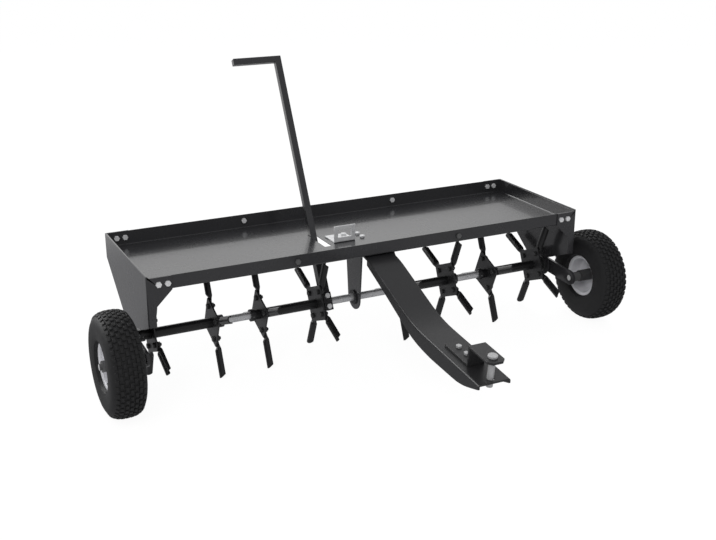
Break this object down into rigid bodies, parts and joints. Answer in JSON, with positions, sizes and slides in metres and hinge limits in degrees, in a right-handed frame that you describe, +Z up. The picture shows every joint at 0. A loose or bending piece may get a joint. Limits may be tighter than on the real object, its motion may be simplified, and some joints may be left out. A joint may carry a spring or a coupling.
{
  "type": "tow behind aerator",
  "caption": "Tow behind lawn aerator: long sheet steel weight tray with end plates, plug spoon gangs on a lift shaft, pneumatic wheels on crank arms, lift lever and bent drawbar with pin hitch",
  "frame": {"origin": "on the ground under the middle of the machine's overall box", "axes": "+X along the tray to the right as seen from the hitch looking back at the tray in the picture, -Y towards the hitch, +Z up"},
  "size_m": [1.46, 0.982, 0.7486],
  "materials": {
    "gloss_black": "gloss black powder coat",
    "satin_black": "satin black powder coat",
    "zinc": "bright zinc plating",
    "tyre": "moulded rubber",
    "rim_grey": "grey paint",
    "nylon": "moulded nylon",
    "valve_rubber": "moulded rubber"
  },
  "bodies": {
    "frame": {"tray_base": "gloss_black", "tray_walls": "gloss_black", "left_end_plate": "gloss_black", "right_end_plate": "gloss_black", "corner_bolts": "zinc", "corner_nuts": "zinc", "wall_bolts": "zinc", "wall_nuts": "zinc", "drawbar": "satin_black", "tray_bracket": "zinc", "centre_hanger": "gloss_black", "drawbar_bolts": "zinc", "drawbar_nuts": "zinc", "hitch_strap": "satin_black", "strap_bolts": "zinc", "left_bush": "nylon", "right_bush": "nylon", "hanger_bush": "nylon"},
    "lift": {"lift_shaft": "zinc", "left_arm": "satin_black", "right_arm": "satin_black", "left_axle": "zinc", "right_axle": "zinc", "axle_washers": "zinc", "axle_nuts": "zinc", "shaft_collars": "satin_black", "collar_screws": "zinc", "lever": "satin_black", "lever_socket": "satin_black", "lever_clamp": "satin_black", "lever_bolts": "zinc"},
    "left_wheel": {"left_tyre": "tyre", "left_rim": "rim_grey", "left_hub": "zinc", "left_valve": "valve_rubber"},
    "right_wheel": {"right_tyre": "tyre", "right_rim": "rim_grey", "right_hub": "zinc", "right_valve": "valve_rubber"},
    "gang1": {"gang1_tube": "satin_black", "gang1_left_plate": "satin_black", "gang1_right_plate": "satin_black", "gang1_spoons": "satin_black", "gang1_bolts": "zinc"},
    "gang2": {"gang2_tube": "satin_black", "gang2_left_plate": "satin_black", "gang2_right_plate": "satin_black", "gang2_spoons": "satin_black", "gang2_bolts": "zinc"},
    "gang3": {"gang3_tube": "satin_black", "gang3_left_plate": "satin_black", "gang3_right_plate": "satin_black", "gang3_spoons": "satin_black", "gang3_bolts": "zinc"},
    "gang4": {"gang4_tube": "satin_black", "gang4_left_plate": "satin_black", "gang4_right_plate": "satin_black", "gang4_spoons": "satin_black", "gang4_bolts": "zinc"},
    "pin": {"hitch_pin": "zinc"}
  },
  "joints": [
    {"name": "lift_turn", "type": "hinge", "parent": "frame", "child": "lift", "pos_m": [0, 0.18321, 0.13747], "axis": [1, 0, 0], "range_deg": [0, 30]},
    {"name": "left_wheel_spin", "type": "hinge", "parent": "lift", "child": "left_wheel", "pos_m": [0, 0.06151, 0.129], "axis": [1, 0, 0], "continuous": true},
    {"name": "right_wheel_spin", "type": "hinge", "parent": "lift", "child": "right_wheel", "pos_m": [0, 0.06151, 0.129], "axis": [1, 0, 0], "continuous": true},
    {"name": "gang1_spin", "type": "hinge", "parent": "lift", "child": "gang1", "pos_m": [0, 0.18321, 0.13747], "axis": [1, 0, 0], "continuous": true},
    {"name": "gang2_spin", "type": "hinge", "parent": "lift", "child": "gang2", "pos_m": [0, 0.18321, 0.13747], "axis": [1, 0, 0], "continuous": true},
    {"name": "gang3_spin", "type": "hinge", "parent": "lift", "child": "gang3", "pos_m": [0, 0.18321, 0.13747], "axis": [1, 0, 0], "continuous": true},
    {"name": "gang4_spin", "type": "hinge", "parent": "lift", "child": "gang4", "pos_m": [0, 0.18321, 0.13747], "axis": [1, 0, 0], "continuous": true},
    {"name": "hitch_pin_lift", "type": "slide", "parent": "frame", "child": "pin", "axis": [0, -0.1198, 0.9928], "range_m": [0, 0.1]}
  ]
}
